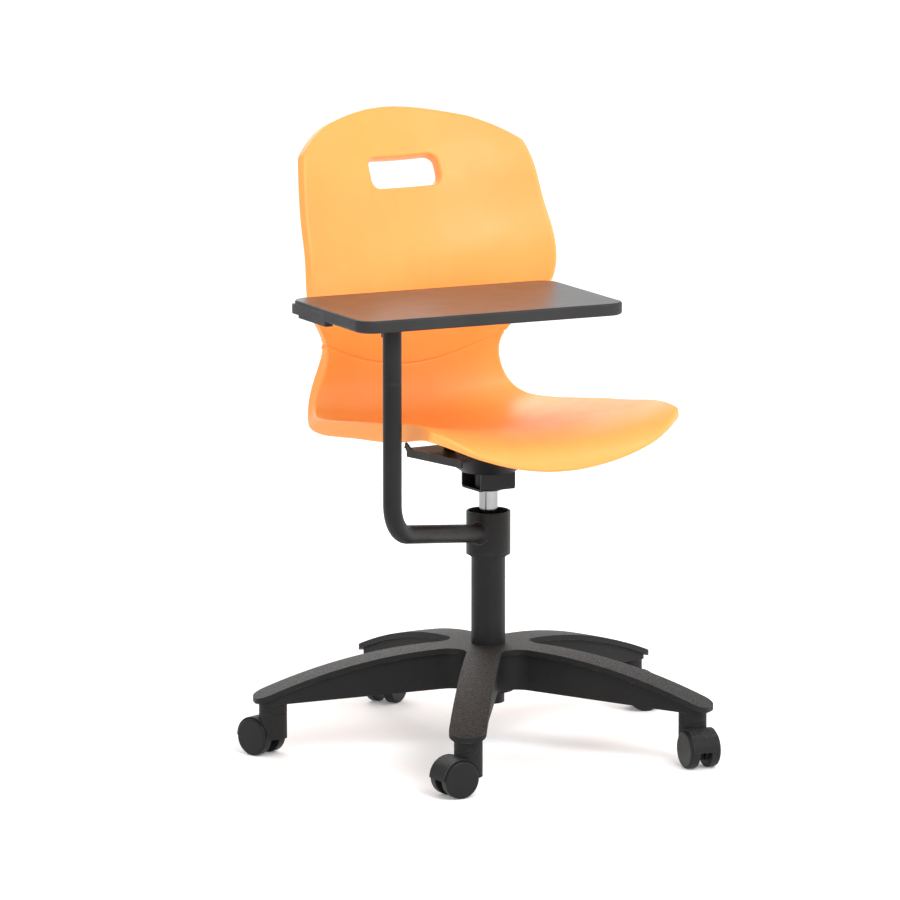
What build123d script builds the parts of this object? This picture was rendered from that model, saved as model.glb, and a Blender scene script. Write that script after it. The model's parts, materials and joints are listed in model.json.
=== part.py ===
from build123d import *
import math
import os

os.makedirs("parts", exist_ok=True)

# Student desk chair on a five-arm caster base, with a writing tablet on an arm that turns about the column.
# Millimetres, +Z up. The origin is on the floor, on the column's axis. The sitter faces -Y, and -X is
# the sitter's right, the tablet's side.

# ---- driving dimensions ------------------------------------------------------------------------------
ARM_COUNT = 5
STEM_RADIUS = 322.0          # column axis to each caster stem
ARM_TIP_RADIUS = 350.0
ARM_WIDTH_HUB = 50.0
ARM_WIDTH_TIP = 54.0
ARM_VALLEY_R = 28.0          # rounding between two arms
ARM_TIP_ROUND = 20.0
BASE_TOP_Z = 153.6           # top of the star at the hub
BASE_DROP = 0.00068          # how fast the arms' top falls, per mm squared outside DROP_START
DROP_START = 40.0
PLATE_THICK = 8.0            # the arm's top plate, whose edge overhangs the web
OVERHANG = 6.0
WEB_BOTTOM_HUB = 93.0
WEB_BOTTOM_TIP = 76.5
WEB_WALL = 4.0
SOCKET_R = 20.5
SOCKET_BOTTOM = 64.6
HUB_R = 38.0

COLUMN_R = 25.0
COLUMN_TOP = 335.0
COLUMN_BOTTOM = 66.0
COLUMN_WALL = 2.5
TAPER_TOP = 148.0            # below this the column narrows into the hub
TAPER_FOOT_R = 24.0
CYLINDER_R = 14.0            # gas cylinder
CYLINDER_BORE_R = 12.1
CYLINDER_BOTTOM = 90.0
CYLINDER_TOP = 428.0
ROD_R = 5.0
RUNNING = 0.05               # radial clearance of every running fit
GAP = 0.3                    # between faces of pieces that turn against each other

COLLAR_R = 32.5
COLLAR_BORE_R = 29.5
COLLAR_BOTTOM = 290.5
COLLAR_TOP = 351.0
TUBE_R = 13.5                # tablet arm tube
TUBE_WALL = 2.5
TUBE_REACH = 289.0           # column axis to the tube's upright part
TUBE_ANGLE = 210.85          # its direction from the column, degrees from +X
TUBE_START_Z = 316.6
TUBE_RISE = 9.1              # degrees above level
TUBE_BEND_R = 51.0
SEAM_Z = 581.0               # top of the fixed tube, where the tablet's sleeve turns

TABLET_L = 421.0
TABLET_W = 250.0
TABLET_THICK = 18.0
TABLET_BOTTOM = 660.5
TABLET_CORNER_R = 27.0
TABLET_YAW = -4.7
TABLET_CENTRE = (-96.2, -76.0)

CHANNEL = (58.0, 56.0, 26.0)  # open channel under the seat: X, Y, Z
CHANNEL_BOTTOM = 384.0
PLATE = (186.0, 170.0, 3.0)
PLATE_Z = 442.0              # plate's top on the column axis
PLATE_TILT = 2.5             # degrees, rising to the front

SHELL_THICK = 5.0
SEAT_HALF = 205.0
SLOT_SIZE = (120.0, 48.0)    # hand slot in the back
SLOT_Z = 821.0

WHEEL_R = 27.5
WHEEL_INNER = 9.0            # wheel faces, measured from the caster's middle plane
WHEEL_OUTER = 24.0
TRAIL = 22.5
HOOD_R = 29.8
HOOD_INNER_R = 28.3
HOOD_HALF = 20.5
HOOD_FOOT_Z = 27.0
CASTER_WEB_R = 17.0          # web between the wheels, about the axle
NECK_TOP = 64.0
STEM_R = 5.5
AXLE_R = 3.0
# trail direction of each caster, degrees from +X, for the arms at 90, 162, 234, 306 and 18 degrees
TRAIL_ANGLES = (29.0, 109.0, 180.0, -98.0, -16.0)


def save(name, shape):
    """Writes one sub-part."""
    shape.label = name
    export_step(shape, f"parts/{name}.step")


def disc(radius, low, high):
    """An upright cylinder about the Z axis between two heights."""
    return Pos(0, 0, (low + high) / 2) * Cylinder(radius, high - low)


def ring(outer, inner, low, high):
    """An upright ring about the Z axis."""
    return disc(outer, low, high) - disc(inner, low - 1, high + 1)


def turned(points):
    """A solid turned about the Z axis from radius and height pairs."""
    outline = Polyline(*[(r, 0, z) for r, z in points], close=True)
    return revolve(make_face(outline), Axis.Z, 360)


# ---- star base ---------------------------------------------------------------------------------------
def star_outline(grow):
    """Plan of the five arms with filleted valleys between them, moved out by grow."""
    corners = []
    for k in range(ARM_COUNT):
        turn = Rot(0, 0, 90 + 72 * k)
        end = ARM_TIP_RADIUS + grow
        valley = (ARM_WIDTH_HUB / 2 + grow) / math.sin(math.radians(36))
        tip = ARM_WIDTH_TIP / 2 + grow
        valley_point = Rot(0, 0, 54 + 72 * k) * Pos(valley, 0, 0)
        for place in (valley_point, turn * Pos(end, -tip, 0), turn * Pos(end, tip, 0)):
            corners.append((place.position.X, place.position.Y))
    plan = make_face(Polyline(*corners, close=True))
    valleys = [v for v in plan.vertices() if math.hypot(v.X, v.Y) < 100]
    plan = fillet(valleys, ARM_VALLEY_R - grow)
    tips = [v for v in plan.vertices() if math.hypot(v.X, v.Y) > ARM_TIP_RADIUS - 10]
    return fillet(tips, ARM_TIP_ROUND + grow / 2)


def top_profile(lower):
    """Radius and height pairs along the arms' top, lowered by a distance."""
    pairs = []
    for r in (DROP_START, 110, 180, 250, 320, 370):
        pairs.append((r, BASE_TOP_Z - lower - BASE_DROP * (r - DROP_START) ** 2))
    return pairs


def under_top(lower):
    """Everything below the arms' top surface, lowered by a distance."""
    pairs = top_profile(lower)
    curve = Spline(*[(r, 0, z) for r, z in pairs], tangents=[(1, 0, 0), (1, 0, -0.45)])
    first, last = pairs[0], pairs[-1]
    edges = [Line((0, 0, first[1]), (first[0], 0, first[1])), curve,
             Line((last[0], 0, last[1]), (last[0], 0, 0)), Line((last[0], 0, 0), (0, 0, 0)),
             Line((0, 0, 0), (0, 0, first[1]))]
    return revolve(make_face(Curve() + edges), Axis.Z, 360)


def star_base():
    tall = BASE_TOP_Z + 20
    plate = extrude(star_outline(0), tall) & (under_top(0) - under_top(PLATE_THICK))
    web_floor = turned([(0, 0), (ARM_TIP_RADIUS + 20, 0), (ARM_TIP_RADIUS + 20, WEB_BOTTOM_TIP),
                        (HUB_R, WEB_BOTTOM_HUB), (0, WEB_BOTTOM_HUB)])
    web = (extrude(star_outline(-OVERHANG), tall) & under_top(PLATE_THICK - 1)) - web_floor
    pocket_roof = under_top(PLATE_THICK)
    half_width = ARM_WIDTH_HUB / 2 - OVERHANG - WEB_WALL
    pockets = []
    for low, high in ((HUB_R + 4, 125), (129, 210), (214, STEM_RADIUS - SOCKET_R - 3)):
        block = Pos((low + high) / 2, 0, tall / 2) * Box(high - low, 2 * half_width, tall)
        pockets.append(block & pocket_roof)
    base = plate + web + disc(HUB_R, 84, TAPER_TOP)
    for k in range(ARM_COUNT):
        turn = Rot(0, 0, 90 + 72 * k)
        socket = Pos(STEM_RADIUS, 0, 0) * disc(SOCKET_R, SOCKET_BOTTOM, 92)
        base += turn * socket
        for pocket in pockets:
            base -= turn * pocket
        base -= turn * Pos(STEM_RADIUS, 0, 0) * disc(STEM_R, 0, 92)
    base -= disc(29.5, 0, TAPER_TOP)
    return base - disc(COLUMN_R, 0, tall)


save("star_base", star_base())
foot_slope = (COLUMN_R - TAPER_FOOT_R) / (TAPER_TOP - COLUMN_BOTTOM)
SLEEVE_FOOT = 84.0
sleeve_foot_r = TAPER_FOOT_R + foot_slope * (SLEEVE_FOOT - COLUMN_BOTTOM)
save("hub_sleeve", turned([(sleeve_foot_r, SLEEVE_FOOT), (29.5, SLEEVE_FOOT), (29.5, TAPER_TOP),
                           (COLUMN_R, TAPER_TOP)]))

# ---- column and gas lift -----------------------------------------------------------------------------
column_bore = COLUMN_R - COLUMN_WALL
FLOOR_TOP = COLUMN_BOTTOM + 6
save("column_tube", turned([(TAPER_FOOT_R, COLUMN_BOTTOM), (COLUMN_R, TAPER_TOP),
                            (COLUMN_R, COLUMN_TOP - 0.8), (COLUMN_R - 0.8, COLUMN_TOP),
                            (column_bore, COLUMN_TOP), (column_bore - 1, FLOOR_TOP),
                            (ROD_R + RUNNING, FLOOR_TOP), (ROD_R + RUNNING, COLUMN_BOTTOM)]))
BUSH_BOTTOM = 250.0
bush_gap_r = column_bore - 1 + (BUSH_BOTTOM - FLOOR_TOP) / (COLUMN_TOP - FLOOR_TOP)
save("column_guide_bush", turned([(CYLINDER_R + RUNNING, BUSH_BOTTOM), (bush_gap_r, BUSH_BOTTOM),
                                  (column_bore, COLUMN_TOP), (column_bore, COLUMN_TOP + 1.5),
                                  (CYLINDER_R + RUNNING + 1, COLUMN_TOP + 1.5),
                                  (CYLINDER_R + RUNNING, COLUMN_TOP)]))
RING_TOP = COLLAR_BOTTOM - 3.5 - GAP
save("collar_stop_ring", ring(COLUMN_R + 2.2, COLUMN_R, RING_TOP - 3, RING_TOP))

BEARING_TOP = FLOOR_TOP + 6


def thrust_bearing():
    """Two washers with a ring of balls between them."""
    washers = ring(15, ROD_R + 1, FLOOR_TOP, FLOOR_TOP + 1.5)
    washers += ring(15, ROD_R + 1, BEARING_TOP - 1.5, BEARING_TOP)
    balls = [Rot(0, 0, 45 * k) * Pos(10.5, 0, FLOOR_TOP + 3) * Sphere(1.5) for k in range(8)]
    return Compound([*washers.solids(), *balls])


save("thrust_bearing", thrust_bearing())
PISTON_LOW = 292.0
SHOULDER = BEARING_TOP + GAP
save("piston_rod", turned([(0, COLUMN_BOTTOM - 7), (ROD_R, COLUMN_BOTTOM - 7), (ROD_R, SHOULDER),
                           (9, SHOULDER), (9, SHOULDER + 3), (ROD_R, SHOULDER + 3),
                           (ROD_R, PISTON_LOW), (CYLINDER_BORE_R - RUNNING, PISTON_LOW),
                           (CYLINDER_BORE_R - RUNNING, PISTON_LOW + 14), (0, PISTON_LOW + 14)]))
save("rod_clip", ring(11, ROD_R, COLUMN_BOTTOM - 2 - GAP, COLUMN_BOTTOM - GAP))

HUB_TAPER_LOW = 392.0
HUB_TAPER_TOP_R = 12.8
save("gas_cylinder", turned([(ROD_R + RUNNING, CYLINDER_BOTTOM), (CYLINDER_R - 1, CYLINDER_BOTTOM),
                             (CYLINDER_R, CYLINDER_BOTTOM + 1), (CYLINDER_R, HUB_TAPER_LOW),
                             (HUB_TAPER_TOP_R, CYLINDER_TOP), (4 + RUNNING, CYLINDER_TOP),
                             (4 + RUNNING, 405), (CYLINDER_BORE_R, 403),
                             (CYLINDER_BORE_R, CYLINDER_BOTTOM + 9),
                             (ROD_R + RUNNING, CYLINDER_BOTTOM + 9)]))
VALVE_TOP = CYLINDER_TOP + 5
save("valve_button", turned([(0, 410), (4, 410), (4, VALVE_TOP - 1), (3, VALVE_TOP), (0, VALVE_TOP)]))

# ---- tablet arm --------------------------------------------------------------------------------------
save("arm_collar", turned([(COLLAR_BORE_R, COLLAR_BOTTOM), (COLLAR_R, COLLAR_BOTTOM),
                           (COLLAR_R, COLLAR_TOP - 1), (COLLAR_R - 1, COLLAR_TOP),
                           (COLLAR_BORE_R + 1, COLLAR_TOP), (COLLAR_BORE_R, COLLAR_TOP - 1)]))
slide_r = COLUMN_R + RUNNING
save("collar_bush_lower", ring(COLLAR_BORE_R, slide_r, COLLAR_BOTTOM, 306)
     + ring(COLLAR_R, slide_r, COLLAR_BOTTOM - 3.5, COLLAR_BOTTOM))
save("collar_bush_upper", ring(COLLAR_BORE_R, slide_r, 317, COLUMN_TOP - 1))

angle = math.radians(TUBE_ANGLE)
TUBE_X = TUBE_REACH * math.cos(angle)
TUBE_Y = TUBE_REACH * math.sin(angle)
corner_z = TUBE_START_Z + TUBE_REACH * math.tan(math.radians(TUBE_RISE))


def arm_tube():
    """One round tube: out from the collar, rising a little, then bent upright."""
    start = (0.06 * TUBE_X, 0.06 * TUBE_Y, TUBE_START_Z + 0.06 * (corner_z - TUBE_START_Z))
    path = FilletPolyline(start, (TUBE_X, TUBE_Y, corner_z), (TUBE_X, TUBE_Y, SEAM_Z), radius=TUBE_BEND_R)
    plane = Plane(origin=start, z_dir=path % 0)
    tube = sweep(plane * (Circle(TUBE_R) - Circle(TUBE_R - TUBE_WALL)), path)
    return tube - disc(COLLAR_R, 250, 400)


save("arm_tube", arm_tube())
AT_PIVOT = Pos(TUBE_X, TUBE_Y, 0)
SPIGOT_R = TUBE_R - TUBE_WALL
WASHER_TOP = SEAM_Z + 1.5
SLEEVE_LOW = WASHER_TOP + GAP
save("pivot_spigot", AT_PIVOT * disc(SPIGOT_R, SEAM_Z - 50, 652))
save("pivot_washer", AT_PIVOT * ring(TUBE_R, SPIGOT_R, SEAM_Z, WASHER_TOP))

# ---- tablet ------------------------------------------------------------------------------------------
SLEEVE_BORE_R = 12.2
save("tablet_sleeve", AT_PIVOT * (ring(TUBE_R, SLEEVE_BORE_R, SLEEVE_LOW, TABLET_BOTTOM)
                                  + disc(TUBE_R, TABLET_BOTTOM - 4, TABLET_BOTTOM)))
bush = ring(SLEEVE_BORE_R, SPIGOT_R + RUNNING, SLEEVE_LOW, SLEEVE_LOW + 16)
bush_pair = Compound([*(AT_PIVOT * bush).solids(), *(AT_PIVOT * Pos(0, 0, 50) * bush).solids()])
save("sleeve_bushes", bush_pair)

ON_TABLET = Pos(TABLET_CENTRE[0], TABLET_CENTRE[1], TABLET_BOTTOM) * Rot(0, 0, TABLET_YAW)
pivot_local = ON_TABLET.inverse() * AT_PIVOT
PIVOT_U = pivot_local.position.X
PIVOT_V = pivot_local.position.Y
BRACKET = (96.0, 74.0, 3.0)
RAIL_LENGTH = 115.0
RAIL_WIDTH = 12.0
RAIL_TOP = 12.0              # the rail fills the board's edge up to this height above its underside
RAIL_DROP = 6.0              # and hangs this far below it
TOP_THICK = 1.2
TOP_INSET = 4.0


def in_board(size_x, size_y, size_z, x, y, z):
    """A block in the tablet's own frame, from its middle in plan and its lowest face."""
    return Pos(x, y, z + size_z / 2) * Box(size_x, size_y, size_z)


bracket_x = PIVOT_U + 18
bracket_y = PIVOT_V + 10
bracket_block = in_board(*BRACKET, bracket_x, bracket_y, 0)
screw_places = [(bracket_x + sx * 38, bracket_y + sy * 27) for sx in (-1, 1) for sy in (-1, 1)]
rail_x = -TABLET_L / 2 + RAIL_WIDTH / 2
rail_y = TABLET_W / 2 - RAIL_LENGTH / 2 - TABLET_CORNER_R * 0.35


def tablet_board():
    """Moulded board with rounded edges, a top recess, a bracket pocket and a rail notch."""
    board = extrude(RectangleRounded(TABLET_L, TABLET_W, TABLET_CORNER_R), TABLET_THICK)
    board = fillet(board.edges().group_by(Axis.Z)[-1], 3)
    board = fillet(board.edges().group_by(Axis.Z)[0], 4)
    board -= Pos(0, 0, TABLET_THICK - TOP_THICK) * extrude(top_plan(), TOP_THICK + 1)
    board -= bracket_block
    for x, y in screw_places:
        board -= Pos(x, y, 0) * disc(2.5, 0, 12)
    return board - in_board(2 * RAIL_WIDTH, RAIL_LENGTH, RAIL_TOP, -TABLET_L / 2, rail_y, 0)


def top_plan():
    """Plan of the writing surface, inside the board's edge."""
    radius = TABLET_CORNER_R - TOP_INSET
    return RectangleRounded(TABLET_L - 2 * TOP_INSET, TABLET_W - 2 * TOP_INSET, radius)


def side_rail():
    """Stepped bar in the notch of the tablet's short edge, hanging below the board."""
    rail = in_board(RAIL_WIDTH, RAIL_LENGTH, RAIL_TOP + RAIL_DROP, rail_x, rail_y, -RAIL_DROP)
    rail -= in_board(RAIL_WIDTH * 2, 22, RAIL_DROP - 2, rail_x, rail_y + RAIL_LENGTH / 2 - 11, -RAIL_DROP)
    return fillet(rail.edges().filter_by(Axis.Z).group_by(Axis.X)[0], 2.5)


def tablet_screw():
    """Pan-head screw pointing up, its head under the bracket."""
    return disc(2.4, 0, 11) + turned([(0, -2.4), (3.6, -2.4), (4.6, -1.2), (4.6, 0), (0, 0)])


save("tablet_board", ON_TABLET * tablet_board())
save("tablet_top", ON_TABLET * Pos(0, 0, TABLET_THICK - TOP_THICK) * extrude(top_plan(), TOP_THICK))
screw_holes = [Pos(x, y, 0) * disc(2.4, -1, 5) for x, y in screw_places]
bracket = fillet(bracket_block.edges().filter_by(Axis.Z), 8)
for hole in screw_holes:
    bracket -= hole
save("tablet_bracket", ON_TABLET * bracket)
save("tablet_side_rail", ON_TABLET * side_rail())
screws = [(ON_TABLET * Pos(x, y, 0) * tablet_screw()).solid() for x, y in screw_places]
save("tablet_screws", Compound(screws))


def sleeve_gusset():
    """Two welded ribs between the sleeve and the bracket, behind the sleeve."""
    reach, height, thick = 30.0, 17.0, 5.0
    rib = Pos(reach / 2, 0, -height / 2) * Box(reach, thick, height) - disc(TUBE_R, -50, 10)
    ribs = [Rot(0, 0, turn) * rib for turn in (45, 91)]
    place = Pos(TUBE_X, TUBE_Y, TABLET_BOTTOM) * Rot(0, 0, TABLET_YAW)
    return Compound([(place * r).solid() for r in ribs])


save("sleeve_gusset", sleeve_gusset())

# ---- under the seat ----------------------------------------------------------------------------------
TILTED = Pos(0, 0, PLATE_Z) * Rot(-PLATE_TILT, 0, 0)
HUB_OUTER_R = 20.0


def seat_channel():
    """Folded box with its open end towards the sitter's right."""
    size_x, size_y, size_z = CHANNEL
    wall = 3.0
    middle = CHANNEL_BOTTOM + size_z / 2
    block = Pos(0, 0, middle) * Box(size_x, size_y, size_z)
    block = fillet(block.edges().filter_by(Axis.X).group_by(Axis.Z)[0], 5)
    hollow = Pos(-wall, 0, middle + wall) * Box(size_x, size_y - 2 * wall, size_z)
    return block - hollow - disc(HUB_OUTER_R, 0, 500)


save("seat_channel", seat_channel())
DISH_LOW = CHANNEL_BOTTOM + CHANNEL[2]
DISH_R = 40.0
DISH_TOP_R = 78.0
DISH_TOP = 437.0
above_plate = TILTED * Pos(0, 0, -PLATE[2] + 50) * Box(400, 400, 100)
dish = turned([(HUB_OUTER_R, DISH_LOW), (DISH_R, DISH_LOW), (DISH_TOP_R + 12, DISH_TOP + 9),
               (DISH_TOP_R + 7.6, DISH_TOP + 9), (DISH_R - 1.2, DISH_LOW + 3), (HUB_OUTER_R, DISH_LOW + 3)])
LEVER_ANGLE = 59.0           # direction of the height lever, degrees from +X
LUG_GAP = 5.0                # lever's middle plane to a lug of its bracket
lever_notch = Rot(0, 0, LEVER_ANGLE) * Pos(70, 0, 431) * Box(50, 15, 30)
save("seat_dish", dish - above_plate - lever_notch)
save("taper_hub", turned([(CYLINDER_R, CHANNEL_BOTTOM - 2), (HUB_OUTER_R, CHANNEL_BOTTOM - 2),
                          (HUB_OUTER_R, CYLINDER_TOP), (HUB_TAPER_TOP_R, CYLINDER_TOP),
                          (CYLINDER_R, HUB_TAPER_LOW)]))


def seat_plate():
    """Pressed tray with turned-down sides, turned-up rear corners and two front posts."""
    size_x, size_y, thick = PLATE
    flange = 12.0
    plate = Pos(0, 0, -thick / 2) * Box(size_x, size_y, thick)
    plate = fillet(plate.edges().filter_by(Axis.Z), 6)
    for side in (-1, 1):
        wall = Pos(side * (size_x / 2 - thick / 2), 0, -flange / 2) * Box(thick, size_y - 14, flange)
        plate += wall
        tab_corners = [(0, size_y / 2 - 20, 0), (0, size_y / 2 - 4, 9), (0, size_y / 2, 0)]
        rear_tab = make_face(Polyline(*tab_corners, close=True))
        plate += Pos(side * (size_x / 2 - thick), 0, 0) * extrude(rear_tab, thick, dir=(side, 0, 0))
        post = make_face(Polyline((-17, 0, 0), (-13, 0, 24), (8, 0, 24), (14, 0, 0), close=True))
        post = extrude(post, thick, dir=(0, -1, 0))
        plate += Pos(side * (size_x / 2 - 26), -size_y / 2 + thick, 0) * post
    plate -= Pos(0, 0, -5) * Cylinder(26, 20)
    plate -= Rot(0, 0, LEVER_ANGLE) * Pos(28, 0, 0) * Box(30, 2 * LUG_GAP, 20)
    for x, y in SCREW_PLACES:
        plate -= Pos(x, y, 0) * Cylinder(2.6, 20)
    return TILTED * plate


SCREW_PLACES = [(x, y) for x in (-42, 42) for y in (-48, 40)]
save("seat_plate", seat_plate())

# ---- seat and back shell -----------------------------------------------------------------------------
# Along the middle of the one-piece shell, from the front lip to the top of the back: Y, Z, half width,
# and how far the sides stand above or in front of the middle, at SEAT_HALF from it.
SHELL_LINE = [(-228, 445, 189, 18), (-222, 463, 200, 22), (-208, 478, 206, 26), (-181, 488, 207, 27),
              (-148, 491, 207, 26), (-83, 486, 206, 24), (0, 475, 206, 25), (80, 463, 204, 27),
              (145, 458, 199, 26), (192, 466, 187, 21), (218, 490, 170, 13), (226, 530, 154, 14),
              (221, 575, 147, 29), (208, 625, 181, 41), (199, 669, 206, 46), (203, 706, 208, 49),
              (217, 744, 204, 49), (230, 783, 200, 50), (243, 821, 194, 53), (270, 868, 175, 58),
              (299, 912, 153, 60)]
FRONT_ARC = 7.0              # how far back the front edge's sides stand in plan
FRONT_ARC_REACH = 150.0      # along the shell from its lip
LIP_ARCH = 48.0              # how much further along the shell the lip starts at its sides
TOP_ARCH = 58.0              # how much lower the top is at its sides
CORNER_SHARE = 0.38          # share of the half width over which a corner turns
TOP_DROP, FRONT_DROP = 22.0, 27.0
LIP_SHARE, TOP_FROM = 0.35, 0.6     # parts of the length that the lip's and the top's arches bend


def stations():
    """Distance along the middle line's chords to each of its points."""
    total = [0.0]
    for (y0, z0, *_), (y1, z1, *_) in zip(SHELL_LINE, SHELL_LINE[1:]):
        total.append(total[-1] + math.hypot(y1 - y0, z1 - z0))
    return total


STATIONS = stations()
LENGTH = STATIONS[-1]


def slopes_at(k):
    """How fast each column of the shell's line changes at its row k, per mm of chord."""
    low, high = max(k - 1, 0), min(k + 1, len(SHELL_LINE) - 1)
    run = STATIONS[high] - STATIONS[low]
    return [(b - a) / run for a, b in zip(SHELL_LINE[low], SHELL_LINE[high])]


def shell_line(along):
    """Y, Z, half width and side rise at a distance along the shell, and its direction in Y and Z."""
    k = max(i for i in range(len(STATIONS) - 1) if STATIONS[i] <= along or i == 0)
    run = STATIONS[k + 1] - STATIONS[k]
    s = (along - STATIONS[k]) / run
    place, way = [], []
    for p0, p1, d0, d1 in zip(SHELL_LINE[k], SHELL_LINE[k + 1], slopes_at(k), slopes_at(k + 1)):
        place.append((2 * s**3 - 3 * s**2 + 1) * p0 + (s**3 - 2 * s**2 + s) * run * d0
                     + (3 * s**2 - 2 * s**3) * p1 + (s**3 - s**2) * run * d1)
        way.append((6 * s**2 - 6 * s) * (p0 - p1) / run + (3 * s**2 - 4 * s + 1) * d0
                   + (3 * s**2 - 2 * s) * d1)
    size = math.hypot(way[0], way[1])
    return *place, way[0] / size, way[1] / size


def shell_point(u, v, depth):
    """A point of the shell: u from -1 to 1 across, v from 0 to 1 along, depth behind its front."""
    corner = max(0.0, (abs(u) - 1 + CORNER_SHARE) / CORNER_SHARE) ** 2
    lip_end = max(0.0, 1 - v / LIP_SHARE) ** 2
    top_end = max(0.0, (v - TOP_FROM) / (1 - TOP_FROM)) ** 2
    along = v * LENGTH + lip_end * (LIP_ARCH * u * u + FRONT_DROP * corner)
    along -= top_end * (TOP_ARCH * u * u + TOP_DROP * corner)
    y, z, half, rise, way_y, way_z = shell_line(along)
    across = half * u
    share = (across / SEAT_HALF) ** 2
    fade = max(0.0, 1 - along / FRONT_ARC_REACH)
    sweep_back = FRONT_ARC * share * fade**2 * (3 - 2 * fade)
    out = rise * share - depth
    return Vector(across, y - way_z * out + sweep_back, z + way_y * out)


def skin(depth):
    """The shell's surface at a depth, as one face."""
    rows, columns = 28, 10
    grid = [[shell_point(2 * j / columns - 1, i / rows, depth) for j in range(columns + 1)]
            for i in range(rows + 1)]
    return Face.make_surface_from_array_of_points(grid, smoothing=(1, 1, 1), max_deg=5)


def edges_in_order(face):
    """The face's four boundary edges: low X, high X, then front end, top end."""
    edges = sorted(face.edges(), key=lambda e: (e @ 0.5).X)
    ends = sorted(edges[1:3], key=lambda e: (e @ 0.5).Z)
    return [edges[0], edges[3], *ends]


SLOT_AT = Plane(origin=(0, 243, SLOT_Z), x_dir=(1, 0, 0), z_dir=(0, -0.94, 0.34))


def seat_shell():
    """Thin curved solid between two skins, with the hand slot cut through the back."""
    front, back = skin(0), skin(SHELL_THICK)
    pairs = zip(edges_in_order(front), edges_in_order(back))
    sides = [Face.make_surface_from_curves(a, b) for a, b in pairs]
    body = Solid(Shell([front, back, *sides]))
    slot = extrude(SLOT_AT * RectangleRounded(*SLOT_SIZE, 15), 80, both=True)
    return body - slot


save("seat_shell", seat_shell())


def underside(x, y):
    """Height of the shell's underside over a place on the seat."""
    nearest = min(range(60), key=lambda i: abs(shell_line(i * LENGTH / 120)[0] - y))
    u = x / shell_line(nearest * LENGTH / 120)[2]
    return shell_point(u, nearest / 120, SHELL_THICK).Z


def spacer(x, y):
    """A boss from the plate to just under the shell."""
    foot = PLATE_Z - y * math.sin(math.radians(PLATE_TILT))
    top = min(underside(x + dx, y + dy) for dx in (-9, 9) for dy in (-9, 9))
    tall = top - GAP - foot
    return TILTED * Pos(x, y, tall / 2) * (Cylinder(9, tall) - Cylinder(2.6, tall))


save("shell_spacers", Compound([spacer(x, y).solid() for x, y in SCREW_PLACES]))


def seat_screw(x, y):
    """Screw up through the plate into the spacer."""
    body = Pos(0, 0, 1) * Cylinder(2.6, 8 + 6) + Pos(0, 0, -PLATE[2] - 3 - 1.5) * Cylinder(5, 3)
    return (TILTED * Pos(x, y, 0) * body).solid()


save("seat_screws", Compound([seat_screw(x, y) for x, y in SCREW_PLACES]))

# ---- height lever ------------------------------------------------------------------------------------
LEVER_PIVOT = 34.0           # column axis to the lever's pin, along the lever
LEVER_Z = VALVE_TOP + 2.0    # pin height
LEVER_END = 150.0
LEVER_SLOPE = 7.0            # degrees that the rod falls towards its end
PIN_R = 2.0
BLADE = (8.0, 3.0)           # width and thickness over the valve button
ALONG_LEVER = Rot(0, 0, LEVER_ANGLE)


def pin_cylinder(radius, half_length):
    """A cylinder along the lever's pin."""
    return Pos(LEVER_PIVOT, 0, LEVER_Z) * Rot(90, 0, 0) * Cylinder(radius, 2 * half_length)


def height_lever():
    """Flat blade over the valve button, a boss on the pin and a falling rod with a round grip."""
    blade = Pos((LEVER_PIVOT - 5) / 2, 0, LEVER_Z) * Box(LEVER_PIVOT + 5, *BLADE)
    rod_length = LEVER_END - LEVER_PIVOT
    rod = Pos(rod_length / 2, 0, 0) * Rot(0, 90, 0) * Cylinder(3, rod_length)
    rims = Cylinder(5.5, 44).edges().filter_by(GeomType.CIRCLE)
    grip = Pos(rod_length - 20, 0, 0) * Rot(0, 90, 0) * fillet(rims, 2)
    rod = Pos(LEVER_PIVOT, 0, LEVER_Z) * Rot(0, LEVER_SLOPE, 0) * (rod + grip)
    return blade + pin_cylinder(4, LUG_GAP - GAP - 0.5) + rod - pin_cylinder(PIN_R + RUNNING, 20)


def lever_bracket():
    """Two lugs under the seat plate that hold the lever's pin."""
    lugs = []
    for side in (-1, 1):
        lug = Pos(LEVER_PIVOT, side * (LUG_GAP + 1.5), LEVER_Z + 5) * Box(10, 3, 20)
        lugs.append((ALONG_LEVER * (lug - pin_cylinder(PIN_R, 20)) - above_plate).solid())
    return Compound(lugs)


save("height_lever", ALONG_LEVER * height_lever())
save("lever_bracket", lever_bracket())
save("lever_pin", ALONG_LEVER * pin_cylinder(PIN_R, LUG_GAP + 3))

# ---- casters -----------------------------------------------------------------------------------------
def across_cylinder(radius, low, high):
    """A cylinder about the axle's direction, at the axle, between two places across the caster."""
    return Pos(TRAIL, (low + high) / 2, WHEEL_R) * Rot(90, 0, 0) * Cylinder(radius, high - low)


def caster_body():
    """Neck, hood over both wheels and the middle web that holds the axle."""
    body = disc(SOCKET_R, HOOD_FOOT_Z, NECK_TOP) + across_cylinder(HOOD_R, -HOOD_HALF, HOOD_HALF)
    for side in (-1, 1):
        inner, outer = sorted((side * (WHEEL_INNER - 1), side * 40))
        body -= across_cylinder(HOOD_INNER_R, inner, outer)
    body -= Pos(TRAIL, 0, 0) * Box(120, 90, 2 * HOOD_FOOT_Z)
    body += across_cylinder(CASTER_WEB_R, 1 - WHEEL_INNER, WHEEL_INNER - 1)
    body -= Pos(TRAIL, 0, WHEEL_R) * Rot(90, 0, 0) * Cylinder(AXLE_R, 60)
    gap = across_cylinder(HOOD_INNER_R, -5, 5) & Pos(TRAIL + 22, 0, 18) * Box(30, 40, 30)
    return body - gap - disc(STEM_R + RUNNING, 44, 70)


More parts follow.
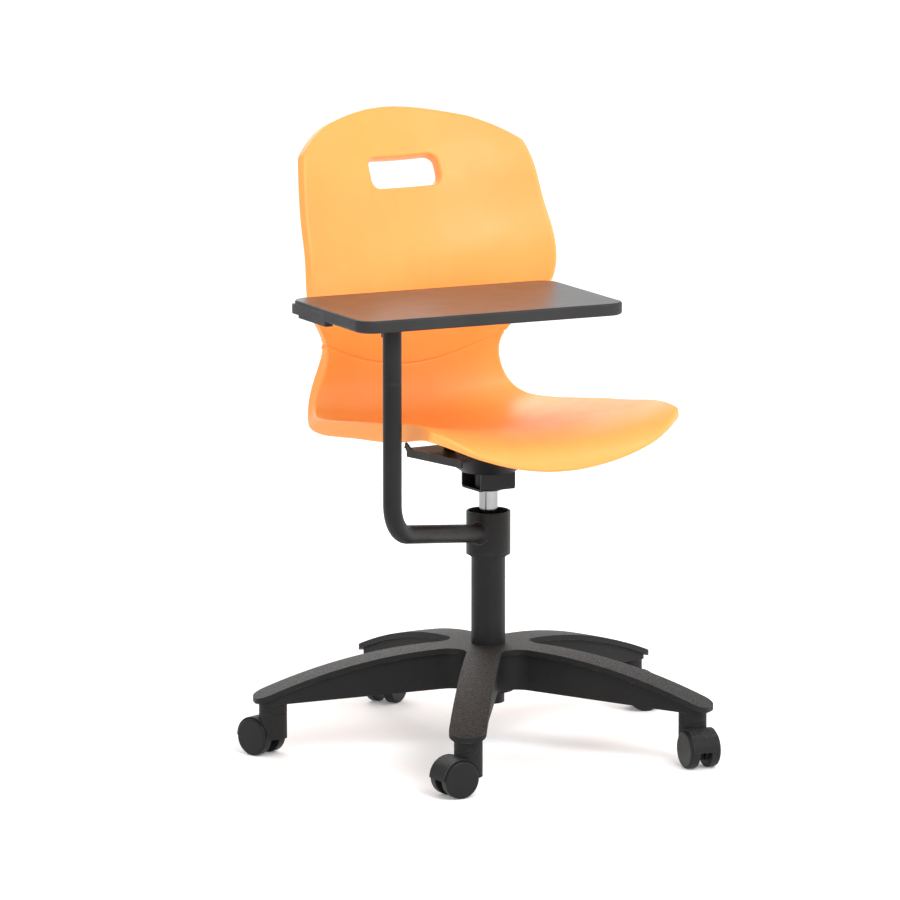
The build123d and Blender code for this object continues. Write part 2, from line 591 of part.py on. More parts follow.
def caster_wheel(side):
    """Solid wheel with a rounded tread edge and a shallow dished face."""
    half = (WHEEL_OUTER - WHEEL_INNER) / 2
    wheel = Cylinder(WHEEL_R, 2 * half)
    wheel = fillet(wheel.edges().group_by(Axis.Z)[-1], 4)
    wheel = fillet(wheel.edges().group_by(Axis.Z)[0], 1.5)
    wheel -= Pos(0, 0, -half) * Cylinder(AXLE_R + RUNNING, 2 * half + 8)
    middle = side * (WHEEL_OUTER + WHEEL_INNER) / 2
    return Pos(TRAIL, middle, WHEEL_R) * Rot(-90 * side, 0, 0) * wheel


stems = []
for k, trail_angle in enumerate(TRAIL_ANGLES):
    arm = math.radians(90 + 72 * k)
    place = Pos(STEM_RADIUS * math.cos(arm), STEM_RADIUS * math.sin(arm), 0) * Rot(0, 0, trail_angle)
    name = f"caster_{k + 1}"
    save(f"{name}_body", place * caster_body())
    save(f"{name}_wheel_left", place * caster_wheel(1))
    save(f"{name}_wheel_right", place * caster_wheel(-1))
    save(f"{name}_axle", place * across_cylinder(AXLE_R, -WHEEL_OUTER + 5, WHEEL_OUTER - 5))
    stems.append((place * disc(STEM_R, 46, 92)).solid())
save("caster_stems", Compound(stems))
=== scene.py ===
import json
import math
import bmesh
import bpy
import numpy as np
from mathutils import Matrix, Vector


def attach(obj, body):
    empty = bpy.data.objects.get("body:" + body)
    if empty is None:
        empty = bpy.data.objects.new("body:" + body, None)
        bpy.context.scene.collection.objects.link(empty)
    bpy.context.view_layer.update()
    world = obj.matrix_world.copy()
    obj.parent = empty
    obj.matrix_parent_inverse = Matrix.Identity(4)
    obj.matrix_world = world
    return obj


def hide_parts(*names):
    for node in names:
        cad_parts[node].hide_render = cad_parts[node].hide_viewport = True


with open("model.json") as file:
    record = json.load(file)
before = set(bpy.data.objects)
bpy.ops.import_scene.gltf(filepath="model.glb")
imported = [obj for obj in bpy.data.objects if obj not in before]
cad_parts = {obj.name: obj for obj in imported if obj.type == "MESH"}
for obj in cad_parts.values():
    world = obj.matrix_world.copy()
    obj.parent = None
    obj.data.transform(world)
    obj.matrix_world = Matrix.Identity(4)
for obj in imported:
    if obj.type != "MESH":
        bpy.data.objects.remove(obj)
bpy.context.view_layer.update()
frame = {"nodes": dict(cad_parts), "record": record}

MM = 0.001

# ---- camera, light and stage -------------------------------------------------------------------------
VIEW_AZIMUTH = math.radians(-30.65)
CAMERA_PITCH = math.radians(10.107)
CAMERA_PLACE = (-4.721, -7.857, 2.074)
LENS = 255.2
SENSOR_WIDTH = 36.0
WORLD_LIGHT = 1.02
FLOOR_HALF = 30.0                        # half the floor's side, in metres
FLOOR_TONE, FLOOR_GLOW = 0.93, 0.12


def look_from(place, pitch, azimuth, lens):
    """A camera at a place that looks level with the azimuth, pitched down."""
    camera = bpy.data.objects.new("camera", bpy.data.cameras.new("camera"))
    camera.data.lens = lens
    camera.data.sensor_width = SENSOR_WIDTH
    camera.data.clip_end = 100
    camera.location = place
    camera.rotation_euler = (math.pi / 2 - pitch, 0, azimuth)
    bpy.context.scene.collection.objects.link(camera)
    bpy.context.scene.camera = camera


def soft_light(name, place, target, size, power):
    """A square area light aimed at a target."""
    lamp = bpy.data.lights.new(name, "AREA")
    lamp.size = size
    lamp.energy = power
    thing = bpy.data.objects.new(name, lamp)
    thing.location = place
    thing.rotation_euler = (Vector(target) - Vector(place)).to_track_quat("-Z", "Y").to_euler()
    bpy.context.scene.collection.objects.link(thing)


def stage():
    """Plain pale floor and plain soft studio light."""
    world = bpy.data.worlds.new("studio")
    world.use_nodes = True
    world.node_tree.nodes["Background"].inputs[0].default_value = (1, 1, 1, 1)
    world.node_tree.nodes["Background"].inputs[1].default_value = WORLD_LIGHT
    bpy.context.scene.world = world
    bpy.context.scene.view_settings.view_transform = "Standard"
    mesh = bpy.data.meshes.new("floor")
    corners = [(x * FLOOR_HALF, y * FLOOR_HALF, 0) for x, y in ((-1, -1), (1, -1), (1, 1), (-1, 1))]
    mesh.from_pydata(corners, [], [(0, 1, 2, 3)])
    floor = bpy.data.objects.new("floor", mesh)
    bpy.context.scene.collection.objects.link(floor)
    material = bpy.data.materials.new("floor")
    material.use_nodes = True
    shader = material.node_tree.nodes["Principled BSDF"]
    shader.inputs["Base Color"].default_value = (FLOOR_TONE, FLOOR_TONE, FLOOR_TONE, 1)
    shader.inputs["Roughness"].default_value = 1.0
    shader.inputs["Specular IOR Level"].default_value = 0.0
    shader.inputs["Emission Color"].default_value = (1, 1, 1, 1)
    shader.inputs["Emission Strength"].default_value = FLOOR_GLOW
    mesh.materials.append(material)
    soft_light("key", (0.2, -3.3, 3.4), (0, 0, 0.6), 2.2, 120)
    soft_light("fill", (3.2, -2.6, 1.8), (0, 0, 0.5), 2.6, 20)
    soft_light("rim", (0.8, 3.2, 2.6), (0, 0, 0.7), 2.0, 40)


# ---- materials ---------------------------------------------------------------------------------------
def new_material(name, metallic=0.0, specular=0.5):
    """An empty Principled material: the material, its node tree and its shader."""
    material = bpy.data.materials.new(name)
    material.use_nodes = True
    shader = material.node_tree.nodes["Principled BSDF"]
    shader.inputs["Metallic"].default_value = metallic
    shader.inputs["Specular IOR Level"].default_value = specular
    return material, material.node_tree, shader


def noise(tree, scale, detail=4.0, roughness=0.55, stretch=None):
    """Noise over the object's own coordinates, in cycles per metre."""
    place = tree.nodes.new("ShaderNodeTexCoord")
    mapping = tree.nodes.new("ShaderNodeMapping")
    if stretch:
        mapping.inputs["Scale"].default_value = stretch
    texture = tree.nodes.new("ShaderNodeTexNoise")
    texture.inputs["Scale"].default_value = scale
    texture.inputs["Detail"].default_value = detail
    texture.inputs["Roughness"].default_value = roughness
    tree.links.new(place.outputs["Object"], mapping.inputs["Vector"])
    tree.links.new(mapping.outputs["Vector"], texture.inputs["Vector"])
    return texture.outputs["Fac"]


def cells(tree, scale):
    """Cell distance over the object's own coordinates, for a moulded grain."""
    place = tree.nodes.new("ShaderNodeTexCoord")
    texture = tree.nodes.new("ShaderNodeTexVoronoi")
    texture.feature = "SMOOTH_F1"
    texture.inputs["Scale"].default_value = scale
    texture.inputs["Smoothness"].default_value = 0.6
    tree.links.new(place.outputs["Object"], texture.inputs["Vector"])
    return texture.outputs["Distance"]


def spread(tree, value, low, high, to_low, to_high):
    """A value mapped from one range to another, clamped."""
    node = tree.nodes.new("ShaderNodeMapRange")
    node.inputs["From Min"].default_value = low
    node.inputs["From Max"].default_value = high
    node.inputs["To Min"].default_value = to_low
    node.inputs["To Max"].default_value = to_high
    tree.links.new(value, node.inputs["Value"])
    return node.outputs["Result"]


def blend_colours(tree, factor, first, second):
    """Mixes two colours, each a tuple or an output, by an output."""
    node = tree.nodes.new("ShaderNodeMix")
    node.data_type = "RGBA"
    tree.links.new(factor, node.inputs["Factor"])
    for socket, colour in ((node.inputs[6], first), (node.inputs[7], second)):
        if isinstance(colour, tuple):
            socket.default_value = (*colour, 1)
        else:
            tree.links.new(colour, socket)
    return node.outputs[2]


def bump(tree, shader, layers):
    """Stacks bump layers, each a height output and a depth in metres."""
    last = None
    for height, depth in layers:
        node = tree.nodes.new("ShaderNodeBump")
        node.inputs["Strength"].default_value = 1.0
        node.inputs["Distance"].default_value = depth
        tree.links.new(height, node.inputs["Height"])
        if last:
            tree.links.new(last, node.inputs["Normal"])
        last = node.outputs["Normal"]
    tree.links.new(last, shader.inputs["Normal"])


def times(tree, first, second):
    """The product of two outputs."""
    product = tree.nodes.new("ShaderNodeMath")
    product.operation = "MULTIPLY"
    tree.links.new(first, product.inputs[0])
    tree.links.new(second, product.inputs[1])
    return product.outputs["Value"]


def facing_up(tree):
    """1 on faces that look upwards, 0 on walls and undersides."""
    surface = tree.nodes.new("ShaderNodeNewGeometry")
    parts = tree.nodes.new("ShaderNodeSeparateXYZ")
    tree.links.new(surface.outputs["True Normal"], parts.inputs["Vector"])
    return spread(tree, parts.outputs["Z"], 0.35, 0.75, 0.15, 1.0)


def worn_edges(tree):
    """1 near sharp edges, broken up by noise, and 0 on flats."""
    rounded = tree.nodes.new("ShaderNodeBevel")
    rounded.samples = 4
    rounded.inputs["Radius"].default_value = 0.0016
    plain = tree.nodes.new("ShaderNodeNewGeometry")
    product = tree.nodes.new("ShaderNodeVectorMath")
    product.operation = "DOT_PRODUCT"
    tree.links.new(rounded.outputs["Normal"], product.inputs[0])
    tree.links.new(plain.outputs["Normal"], product.inputs[1])
    edge = spread(tree, product.outputs["Value"], 0.86, 0.995, 1.0, 0.0)
    patches = spread(tree, noise(tree, 70, 3), 0.42, 0.66, 0.0, 1.0)
    return times(tree, edge, patches)


def grained_plastic(name, colour, light, roughness, grain_scale, grain_depth, edge=None, specular=0.18,
                    unevenness=0.08):
    """Moulded plastic: fine leather-like grain, faint mottling, dust in the grain and rubbed edges."""
    material, tree, shader = new_material(name, specular=specular)
    mottled = blend_colours(tree, spread(tree, noise(tree, 9, 5), 0.35, 0.7, 0, 1), colour, light)
    dusty = spread(tree, cells(tree, grain_scale), 0.25, 0.7, 0.0, 0.35)
    base = blend_colours(tree, dusty, mottled, light)
    if edge:
        base = blend_colours(tree, worn_edges(tree), base, edge)
    tree.links.new(base, shader.inputs["Base Color"])
    rough = spread(tree, noise(tree, 26, 6), 0.3, 0.75, roughness - unevenness, roughness + unevenness)
    tree.links.new(rough, shader.inputs["Roughness"])
    bump(tree, shader, [(cells(tree, grain_scale), grain_depth),
                        (noise(tree, grain_scale * 0.4, 4), grain_depth)])
    return material


def base_nylon():
    """Glass-filled nylon with a coarse spark-eroded texture on its upward faces, whose crests are painted
    paler as a painted highlight of the light from above, and rubbed at the edges.
    """
    material, tree, shader = new_material("base_nylon", specular=0.22)
    grain = times(tree, noise(tree, 430, 3, 0.6), facing_up(tree))
    # painted highlight: the grain's crests on upward faces are coloured paler, as if lit from above
    painted_highlight_crests = spread(tree, grain, 0.42, 0.62, 0.0, 1.0)
    tone = blend_colours(tree, spread(tree, noise(tree, 8, 4), 0.35, 0.7, 0, 1), (0.007, 0.007, 0.007),
                         (0.011, 0.0105, 0.0105))
    # (0.032, 0.031, 0.03) is the painted highlight colour laid on the lit crests of the upward faces
    tone = blend_colours(tree, painted_highlight_crests, tone, (0.032, 0.031, 0.03))
    tone = blend_colours(tree, worn_edges(tree), tone, (0.06, 0.06, 0.06))
    tree.links.new(tone, shader.inputs["Base Color"])
    tree.links.new(spread(tree, grain, 0.4, 0.65, 0.6, 0.45), shader.inputs["Roughness"])
    bump(tree, shader, [(grain, 0.0008), (cells(tree, 620), 0.00012)])
    return material


def shell_plastic():
    """Satin orange polypropylene with a spark-eroded micro grain and faint flow and rub marks."""
    material, tree, shader = new_material("shell_plastic")
    base, deep, pale = (1.0, 0.35, 0.07), (1.0, 0.32, 0.06), (1.0, 0.38, 0.085)
    cloud = spread(tree, noise(tree, 3.2, 4), 0.32, 0.7, 0, 1)
    flow = spread(tree, noise(tree, 14, 6, 0.6, (1, 0.25, 0.25)), 0.4, 0.75, 0, 0.4)
    colour = blend_colours(tree, flow, blend_colours(tree, cloud, deep, base), pale)
    tree.links.new(colour, shader.inputs["Base Color"])
    rough = spread(tree, noise(tree, 22, 6), 0.3, 0.75, 0.4, 0.52)
    tree.links.new(rough, shader.inputs["Roughness"])
    shader.inputs["Subsurface Weight"].default_value = 0.12
    shader.inputs["Subsurface Radius"].default_value = (0.006, 0.0022, 0.0008)
    shader.inputs["Subsurface Scale"].default_value = 1.0
    shader.inputs["IOR"].default_value = 1.49
    scratches = noise(tree, 60, 2, 0.5, (1, 14, 14))
    bump(tree, shader, [(cells(tree, 1500), 0.00006), (noise(tree, 700, 3), 0.00005),
                        (spread(tree, scratches, 0.62, 0.72, 0, 1), 0.000015)])
    return material


def powder_coat():
    """Satin black powder coat on steel: orange-peel surface, specks and rubbed edges."""
    material, tree, shader = new_material("powder_coat", specular=0.18)
    base = blend_colours(tree, spread(tree, noise(tree, 12, 5), 0.35, 0.7, 0, 1), (0.009, 0.009, 0.009),
                         (0.014, 0.014, 0.014))
    speck = spread(tree, noise(tree, 900, 2), 0.66, 0.74, 0, 0.5)
    base = blend_colours(tree, speck, base, (0.05, 0.05, 0.05))
    base = blend_colours(tree, worn_edges(tree), base, (0.07, 0.07, 0.071))
    tree.links.new(base, shader.inputs["Base Color"])
    tree.links.new(spread(tree, noise(tree, 30, 5), 0.3, 0.75, 0.38, 0.5), shader.inputs["Roughness"])
    bump(tree, shader, [(noise(tree, 520, 3), 0.00009), (cells(tree, 1100), 0.00003)])
    return material


def metal(name, colour, dull, rough_low, rough_high, brushed):
    """Bare or plated steel with turning marks, smudges and dull patches."""
    material, tree, shader = new_material(name, 1.0)
    smudge = spread(tree, noise(tree, 24, 6), 0.4, 0.72, 0, 1)
    tree.links.new(blend_colours(tree, smudge, colour, dull), shader.inputs["Base Color"])
    tree.links.new(spread(tree, noise(tree, 40, 6), 0.3, 0.75, rough_low, rough_high),
                   shader.inputs["Roughness"])
    bump(tree, shader, [(noise(tree, 60, 3, 0.6, (1, 1, brushed)), 0.00003), (noise(tree, 800, 2), 0.00001)])
    return material


MATERIALS = {
    "orange_shell": shell_plastic(),
    "black_nylon": base_nylon(),
    "black_steel": powder_coat(),
    "bare_steel": metal("zinc_steel", (0.42, 0.42, 0.43), (0.3, 0.3, 0.31), 0.28, 0.45, 12),
    "chrome": metal("chrome_plate", (0.33, 0.33, 0.335), (0.27, 0.27, 0.275), 0.08, 0.2, 20),
    "bush_plastic": grained_plastic("acetal", (0.01, 0.01, 0.01), (0.018, 0.018, 0.018), 0.42, 900, 0.00005),
    "tablet_laminate": grained_plastic("tablet_laminate", (0.02, 0.019, 0.0185), (0.03, 0.028, 0.027), 0.3,
                                       1300, 0.000015, None, 0.28, 0.02),
    "tablet_edge": grained_plastic("tablet_edge", (0.02, 0.02, 0.0205), (0.032, 0.032, 0.033), 0.48, 1100,
                                   0.00008, (0.08, 0.08, 0.08)),
    "wheel_plastic": grained_plastic("wheel_nylon", (0.008, 0.008, 0.0082), (0.014, 0.014, 0.0143), 0.42,
                                     1000, 0.00005, (0.06, 0.06, 0.06)),
}


PAINTED_OVER = {"taper_hub"}        # steel that is painted together with the channel it is welded to


def dress_cad_nodes():
    """Gives every carried-over CAD node the material of its slot, or the paint that covers it."""
    for part in frame["record"]["subparts"]:
        slot = "black_steel" if part["node"] in PAINTED_OVER else part["material_slot"]
        thing = frame["nodes"][part["node"]]
        thing.data.materials.clear()
        thing.data.materials.append(MATERIALS[slot])


# ---- seat and back shell -----------------------------------------------------------------------------
# Stations along the middle line, front lip first, in mm: y, z, half width, how far the sides stand in
# front of the middle at WRAP_HALF from it, depth of the turned-back rim, and how far the rim flares out.
STATIONS = np.array([
    (-228, 445, 185, 18, 0, 0), (-222, 463, 196, 22, 0, 0), (-208, 478, 202, 26, 5, 0),
    (-181, 488, 203, 27, 11, 0), (-148, 491, 203, 26, 18, 0), (-83, 486, 202, 24, 23, 0),
    (0, 475, 202, 25, 21, 1), (80, 463, 200, 27, 19, 2), (145, 458, 195, 26, 16, 3),
    (192, 466, 183, 21, 12, 4), (218, 490, 166, 13, 13, 3), (226, 530, 149, 14, 11, 2),
    (221, 575, 147, 29, 8, 0.5), (208, 625, 177, 41, 7, 0.5), (199, 669, 202, 46, 7, 0.5),
    (203, 706, 204, 49, 7, 0.5), (217, 744, 200, 49, 7, 0.5), (230, 783, 196, 50, 7, 0.5),
    (243, 821, 190, 53, 7, 0.5), (270, 868, 170, 58, 7, 0.5), (300, 914, 146, 60, 7, 0.5)], float)
WRAP_HALF = 205.0
FRONT_ARC_REACH = 150.0    # along the shell from the front lip
LIP_SHARE = 0.35           # part of the length that the lip's arch bends
TOP_FROM = 0.6             # where along the length the top's arch begins
TOP_ARCH = 61.0            # how much lower the top is at its sides
LIP_ARCH = 48.0            # how much higher the front lip ends at its sides
FRONT_ARC = 4.0            # how far back the front edge's sides stand in plan
CORNER = 0.3               # share of the half width over which the corners turn
TOP_DROP, FRONT_DROP = 26.0, 14.0
SHELL_THICK = 4.5
EDGE_R = 4.5               # rounding from the shell's face into its rim
RIM_WALL = 3.2
FOOT_R = 0.8               # rounding of the rim's foot
INNER_TOP = SHELL_THICK + 1.5            # depth at which the rim's inner wall begins
CREASE_Z = 536.5           # lowest point of the lumbar crease
CREASE_RISE = 43.0         # how much further along the shell it is at CREASE_SPAN to a side
CREASE_DEPTH, CREASE_HALF, CREASE_STEP = 0.9, 1.5, 0.6
CREASE_SPAN = 150.0        # how far to a side CREASE_RISE is reached
STEP_BLEND, STEP_FADE = 5.0, 60.0        # how softly the step at the crease starts and dies out
STEP_REACH = 70.0          # how far below the crease the step dies out
SLOT_HALF = (58.5, 24.0)
SLOT_R = 15.0
SLOT_Z = 822.5
SLOT_DEPTH = 18.0
SLOT_ROUND = 4.5           # rounding of the slot's front edge
SLOT_SKIRT = 6.5           # width of the flat round the slot at the back
SLOT_BLOCK = (84.0, 46.0)  # half size of the block of the grid that the slot's rings fill
TURN_STEPS = 6             # steps round each rounded edge


def cubic(knots, values):
    """Natural cubic spline through values at knots: a function of place, or of place and 1 for slope."""
    count = len(knots)
    run, slope = np.diff(knots), np.diff(values) / np.diff(knots)
    system, right = np.eye(count), np.zeros(count)
    for i in range(1, count - 1):
        system[i, i - 1:i + 2] = run[i - 1], 2 * (run[i - 1] + run[i]), run[i]
        right[i] = 6 * (slope[i] - slope[i - 1])
    curve = np.linalg.solve(system, right)

    def at(place, order=0):
        i = np.clip(np.searchsorted(knots, place) - 1, 0, count - 2)
        t = place - knots[i]
        first = slope[i] - run[i] * (2 * curve[i] + curve[i + 1]) / 6
        change = (curve[i + 1] - curve[i]) / run[i]
        if order:
            return first + curve[i] * t + change * t * t / 2
        return values[i] + first * t + curve[i] * t * t / 2 + change * t**3 / 6

    return at


REACH = np.concatenate([[0], np.cumsum(np.hypot(*np.diff(STATIONS[:, :2], axis=0).T))])
LENGTH = REACH[-1]
AT_Y, AT_Z, AT_HALF, AT_WRAP, AT_RIM, AT_FLARE = [cubic(REACH, column) for column in STATIONS.T]


def smooth_step(x):
    """0 below 0, 1 above 1 and an S curve between."""
    x = np.clip(x, 0, 1)
    return x * x * (3 - 2 * x)


def crease(across, along):
    """Depth of the faint lumbar crease, an arc that dips in the middle."""
    line = CREASE_ALONG + CREASE_RISE * (across / CREASE_SPAN) ** 2
    away = along - line
    groove = CREASE_DEPTH * np.exp(-(away / CREASE_HALF) ** 2)
    fade = smooth_step(0.5 - away / STEP_BLEND) * smooth_step((away + STEP_REACH) / STEP_FADE)
    return groove + CREASE_STEP * fade


def face_point(across, along, depth=0.0):
    """A point of the shell in mm: across, distance along the middle line, depth behind the front face."""
    across, along = np.broadcast_arrays(np.asarray(across, float), np.asarray(along, float))
    way_y, way_z = AT_Y(along, 1), AT_Z(along, 1)
    size = np.hypot(way_y, way_z)
    way_y, way_z = way_y / size, way_z / size
    share = (across / WRAP_HALF) ** 2
    sweep = FRONT_ARC * share * smooth_step((FRONT_ARC_REACH - along) / FRONT_ARC_REACH)
    out = AT_WRAP(along) * share - depth - crease(across, along)
    return np.stack([across, AT_Y(along) - way_z * out + sweep, AT_Z(along) + way_y * out], -1)


def face_normal(across, along):
    """Unit normal of the front face, towards the sitter."""
    step = 0.5
    side = face_point(across + step, along) - face_point(across - step, along)
    up = face_point(across, along + step) - face_point(across, along - step)
    normal = np.cross(side, up)
    return normal / np.linalg.norm(normal, axis=-1, keepdims=True)


def plan_point(u, v):
    """Across and along for u from -1 to 1 and v from 0 to 1, with arched ends and rounded corners."""
    corner = np.clip((np.abs(u) - 1 + CORNER) / CORNER, 0, 1) ** 2
    front = np.clip(1 - v / LIP_SHARE, 0, 1) ** 2
    top = np.clip((v - TOP_FROM) / (1 - TOP_FROM), 0, 1) ** 2
    along = v * LENGTH + front * (LIP_ARCH * u * u + FRONT_DROP * corner)
    along = along - top * (TOP_ARCH * u * u + TOP_DROP * corner)
    return AT_HALF(along) * u, EDGE_R + along * (1 - 2 * EDGE_R / LENGTH)


tries = np.linspace(LENGTH * 0.4, LENGTH, 2000)
SLOT_ALONG = float(tries[np.argmin(abs(AT_Z(tries) - SLOT_Z))])
CREASE_ALONG = float(tries[np.argmin(abs(AT_Z(tries) - CREASE_Z))])


def slot_edge(directions, grow):
    """Points where rays from the slot's centre meet its rounded outline, grown by a distance."""
    half_x, half_y, radius = SLOT_HALF[0] + grow, SLOT_HALF[1] + grow, SLOT_R + grow
    out = []
    for dx, dy in directions:
        size = math.hypot(dx, dy)
        dx, dy = abs(dx) / size, abs(dy) / size
        reach = min(half_x / max(dx, 1e-9), half_y / max(dy, 1e-9))
        x, y = dx * reach, dy * reach
        core_x, core_y = half_x - radius, half_y - radius
        if x > core_x and y > core_y:
            toward = dx * core_x + dy * core_y
            reach = toward + math.sqrt(max(toward**2 - core_x**2 - core_y**2 + radius**2, 0))
        out.append(reach)
    return np.array(out)


class ShellMesh:
    """Collects the shell's vertices, in mm, and faces."""

    def __init__(self):
        self.points = []
        self.faces = []

    def add(self, points):
        """Adds points and gives their places in the list."""
        start = len(self.points)
        self.points.extend(np.asarray(points).reshape(-1, 3))
        return np.arange(start, len(self.points))

    def bridge(self, first, second):
        """Quads between two closed loops of the same length."""
        count = len(first)
        for i in range(count):
            j = (i + 1) % count
            self.faces.append((first[i], first[j], second[j], second[i]))


COLUMNS, ROWS = 84, 250
FINE_ROWS = 90                       # extra rows where the crease runs
FINE_BELOW, FINE_REACH = 14.0, 62.0  # how far below and above the crease's lowest point they reach
EDGE_CROWDING = 0.35                 # share by which the columns crowd towards the shell's sides


def row_places():
    """Places from 0 to 1 along the shell, closer together where the crease runs."""
    fine = np.linspace(CREASE_ALONG - FINE_BELOW, CREASE_ALONG + FINE_REACH, FINE_ROWS) / LENGTH
    coarse = np.linspace(0, 1, ROWS + 1)
    step = fine[1] - fine[0]
    clear = coarse[(coarse < fine[0] - step) | (coarse > fine[-1] + step)]
    return np.sort(np.concatenate([fine, clear]))


def skin(mesh, depth, flip):
    """One face of the shell with a hole for the slot. Returns its outer loop, its hole's loop and plan."""
    even = np.linspace(-1, 1, COLUMNS + 1)
    u = np.sin(even * math.pi / 2) * EDGE_CROWDING + even * (1 - EDGE_CROWDING)
    v = row_places()
    last = len(v) - 1
    uu, vv = np.meshgrid(u, v)
    across, along = plan_point(uu, vv)
    grid = mesh.add(face_point(across, along, depth)).reshape(last + 1, COLUMNS + 1)
    middle_row = np.argmin(abs(along[:, COLUMNS // 2] - SLOT_ALONG))
    rows = int(round(SLOT_BLOCK[1] / (LENGTH / ROWS)))
    low_row, high_row = middle_row - rows, middle_row + rows
    inside = np.where(abs(across[middle_row]) < SLOT_BLOCK[0])[0]
    low_col, high_col = inside[0], inside[-1]
    for i in range(last):
        for j in range(COLUMNS):
            if low_row <= i < high_row and low_col <= j < high_col:
                continue
            quad = (grid[i, j], grid[i, j + 1], grid[i + 1, j + 1], grid[i + 1, j])
            mesh.faces.append(quad[::-1] if flip else quad)
    outer = ring_of(0, last, 0, COLUMNS)
    hole = ring_of(low_row, high_row, low_col, high_col)
    loop = np.array([grid[i, j] for i, j in outer])
    hole_loop = np.array([grid[i, j] for i, j in hole])
    plan = np.array([(across[i, j], along[i, j]) for i, j in outer])
    hole_plan = np.array([(across[i, j], along[i, j]) for i, j in hole])
    return loop, plan, hole_loop, hole_plan


def ring_of(low_row, high_row, low_col, high_col):
    """Grid places round a block, counter-clockwise seen from the front."""
    ring = [(low_row, j) for j in range(low_col, high_col)]
    ring += [(i, high_col) for i in range(low_row, high_row)]
    ring += [(high_row, j) for j in range(high_col, low_col, -1)]
    return ring + [(i, low_col) for i in range(high_row, low_row, -1)]


def outward(plan):
    """Directions out of the shell at its outline, in the shell's face, from the outline's plan."""
    points = face_point(plan[:, 0], plan[:, 1])
    normal = face_normal(plan[:, 0], plan[:, 1])
    run = np.roll(points, -2, axis=0) - np.roll(points, 2, axis=0)
    out = np.cross(run, normal)
    out /= np.linalg.norm(out, axis=1, keepdims=True)
    for _ in range(6):
        out = (np.roll(out, 1, axis=0) + 2 * out + np.roll(out, -1, axis=0)) / 4
    out -= normal * np.sum(out * normal, axis=1, keepdims=True)
    return points, normal, out / np.linalg.norm(out, axis=1, keepdims=True)


def slot_ring(mesh, hole_plan, grow, depth):
    """A loop round the slot, on the face or at a depth behind it."""
    offsets = hole_plan - np.array([0, SLOT_ALONG])
    reach = slot_edge(offsets, grow)[:, None]
    place = offsets / np.linalg.norm(offsets, axis=1, keepdims=True) * reach
    return mesh.add(face_point(place[:, 0], place[:, 1] + SLOT_ALONG, depth))


def between_rings(mesh, hole_plan, share, grow, depth):
    """A loop part of the way from the grid's hole to the slot."""
    offsets = hole_plan - np.array([0, SLOT_ALONG])
    reach = slot_edge(offsets, grow)[:, None]
    near = offsets / np.linalg.norm(offsets, axis=1, keepdims=True) * reach
    place = offsets * (1 - share) + near * share
    return mesh.add(face_point(place[:, 0], place[:, 1] + SLOT_ALONG, depth))


def seat_shell():
    """The one-piece seat and back: thin face, turned-back rim, hand slot with its own wall, crease."""
    mesh = ShellMesh()
    front, plan, front_hole, hole_plan = skin(mesh, 0.0, False)
    back, _, back_hole, _ = skin(mesh, SHELL_THICK, True)
    points, normal, out = outward(plan)
    depth = AT_RIM(plan[:, 1])[:, None] + EDGE_R
    flare = AT_FLARE(plan[:, 1])[:, None]
    rings = [front]
    for step in range(1, TURN_STEPS + 1):
        turn = step / TURN_STEPS * math.pi / 2
        down = normal * EDGE_R * (1 - math.cos(turn))
        rings.append(mesh.add(points + out * EDGE_R * math.sin(turn) - down))
    for share in (0.25, 0.5, 0.75, 1.0):
        down = EDGE_R + (depth - EDGE_R) * share
        rings.append(mesh.add(points + out * (EDGE_R + flare * share**1.6) - normal * down))
    foot = points + out * (EDGE_R + flare) - normal * depth
    for across, down in ((FOOT_R * 0.4, FOOT_R * 0.8), (RIM_WALL / 2, FOOT_R * 1.1),
                         (RIM_WALL - FOOT_R * 0.4, FOOT_R * 0.8)):
        rings.append(mesh.add(foot - out * across - normal * down))
    for share in (1.0, 0.6, 0.2):
        down = INNER_TOP + (depth - INNER_TOP) * share
        rings.append(mesh.add(points + out * (EDGE_R - RIM_WALL + flare * share**1.6) - normal * down))
    rings.append(back)
    for first, second in zip(rings, rings[1:]):
        mesh.bridge(second, first)
    rings = [front_hole]
    for share in (0.35, 0.65, 0.88):
        rings.append(between_rings(mesh, hole_plan, share, SLOT_ROUND, 0.0))
    for step in range(0, TURN_STEPS + 1):
        turn = step / TURN_STEPS * math.pi / 2
        grow, down = SLOT_ROUND * (1 - math.sin(turn)), SLOT_ROUND * (1 - math.cos(turn))
        rings.append(slot_ring(mesh, hole_plan, grow, down))
    for grow, down in ((0.0, 8.0), (0.2, SLOT_DEPTH - 0.7), (0.9, SLOT_DEPTH), (2.3, SLOT_DEPTH),
                       (3.0, SLOT_DEPTH - 0.7), (3.1, SHELL_THICK + 2.5), (4.2, SHELL_THICK + 0.4),
                       (SLOT_SKIRT, SHELL_THICK)):
        rings.append(slot_ring(mesh, hole_plan, grow, down))
    for share in (0.7, 0.35):
        rings.append(between_rings(mesh, hole_plan, share, SLOT_SKIRT, SHELL_THICK))
    rings.append(back_hole)
    for first, second in zip(rings, rings[1:]):
        mesh.bridge(first, second)
    return finished(mesh, "seat_shell_moulding", "orange_shell", "seat", "seat_shell")


def finished(mesh, name, slot, body, *replaced):
    """Turns collected points and faces into a closed smooth piece on a body."""
    data = bpy.data.meshes.new(name)
    corners = [tuple(p * MM) for p in mesh.points]
    data.from_pydata(corners, [], [tuple(int(i) for i in f) for f in mesh.faces])
    shape = bmesh.new()
    shape.from_mesh(data)
    bmesh.ops.remove_doubles(shape, verts=shape.verts, dist=1e-6)
    bmesh.ops.recalc_face_normals(shape, faces=shape.faces)
    shape.to_mesh(data)
    shape.free()
    data.polygons.foreach_set("use_smooth", [True] * len(data.polygons))
    data.materials.append(MATERIALS[slot])
    piece = bpy.data.objects.new(name, data)
    bpy.context.scene.collection.objects.link(piece)
    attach(piece, body)
    if replaced:
        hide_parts(*replaced)
    return piece


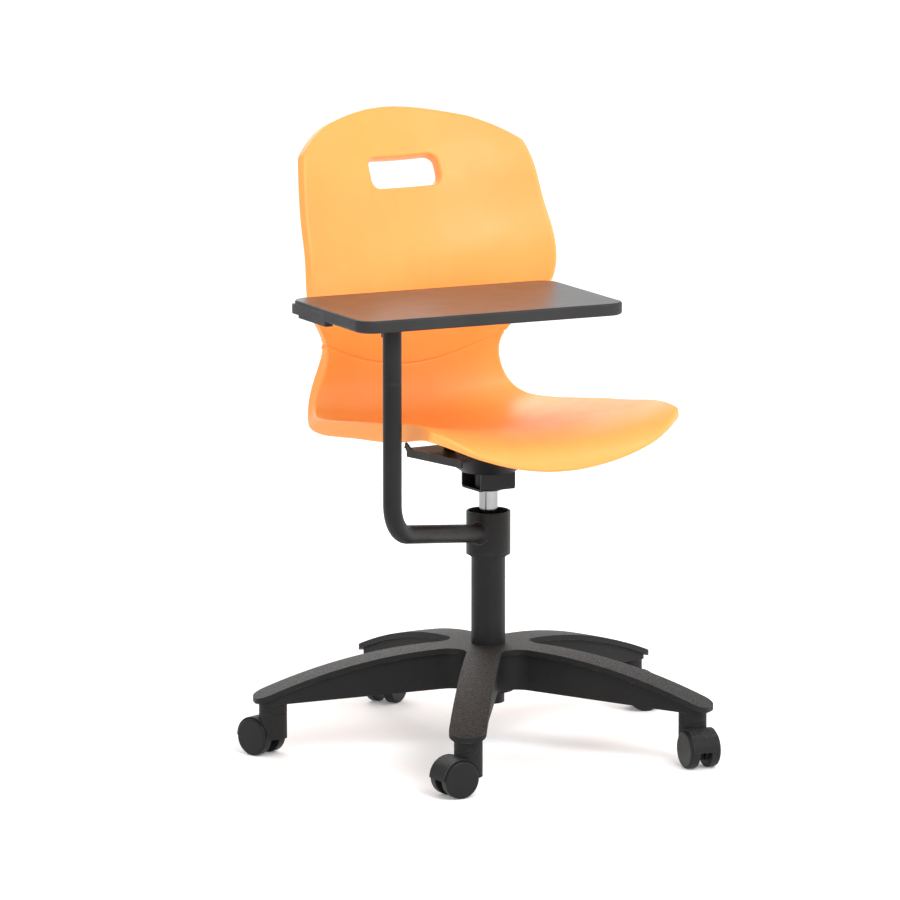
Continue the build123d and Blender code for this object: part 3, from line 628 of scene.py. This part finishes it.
# ---- weld of the tablet arm to its collar -------------------------------------------------------------
TUBE_ANGLE = math.radians(210.85)        # direction of the arm's level part from the column
TUBE_RISE = math.radians(9.1)
TUBE_START_Z = 316.6
TUBE_R, COLLAR_R = 13.5, 32.5
WELD = 5.0                 # how far the weld reaches over the tube and over the collar
WELD_WAVE = 0.5            # how uneven its edge is
WELD_SIDES, WELD_STEPS = 72, 8


def arm_weld():
    """Smooth weld where the tablet arm's tube meets the collar: a band with a hollow profile."""
    level = math.cos(TUBE_RISE)
    way = np.array([math.cos(TUBE_ANGLE) * level, math.sin(TUBE_ANGLE) * level, math.sin(TUBE_RISE)])
    side = np.array([-math.sin(TUBE_ANGLE), math.cos(TUBE_ANGLE), 0])
    up = np.cross(way, side)
    start = np.array([0, 0, TUBE_START_Z])

    def on_collar(turn, radius, past):
        """Point at a radius about the tube where it meets the collar, then a little way along the tube."""
        rim = start + radius * (math.cos(turn) * side + math.sin(turn) * up)
        a = way[0] ** 2 + way[1] ** 2
        b = 2 * (rim[0] * way[0] + rim[1] * way[1])
        c = rim[0] ** 2 + rim[1] ** 2 - COLLAR_R**2
        return rim + way * ((-b + math.sqrt(b * b - 4 * a * c)) / (2 * a) + past)

    mesh = ShellMesh()
    loops = [[] for _ in range(WELD_STEPS + 1)]
    for turn in np.linspace(0, 2 * math.pi, WELD_SIDES, endpoint=False):
        reach = WELD + WELD_WAVE * math.sin(5 * turn) * math.sin(2 * turn)
        tube, corner, collar = (on_collar(turn, TUBE_R - 0.1, reach), on_collar(turn, TUBE_R, 0),
                                on_collar(turn, TUBE_R + reach, -0.1))
        for k, share in enumerate(np.linspace(0, 1, WELD_STEPS)):
            loops[k].append((1 - share) ** 2 * tube + 2 * share * (1 - share) * corner + share**2 * collar)
        loops[WELD_STEPS].append(on_collar(turn, TUBE_R - 0.8, -0.8))
    rings = [mesh.add(loop) for loop in loops]
    for first, second in zip(rings, rings[1:] + rings[:1]):
        mesh.bridge(first, second)
    return finished(mesh, "arm_weld", "black_steel", "arm")


look_from(CAMERA_PLACE, CAMERA_PITCH, VIEW_AZIMUTH, LENS)
stage()
dress_cad_nodes()
seat_shell()
arm_weld()
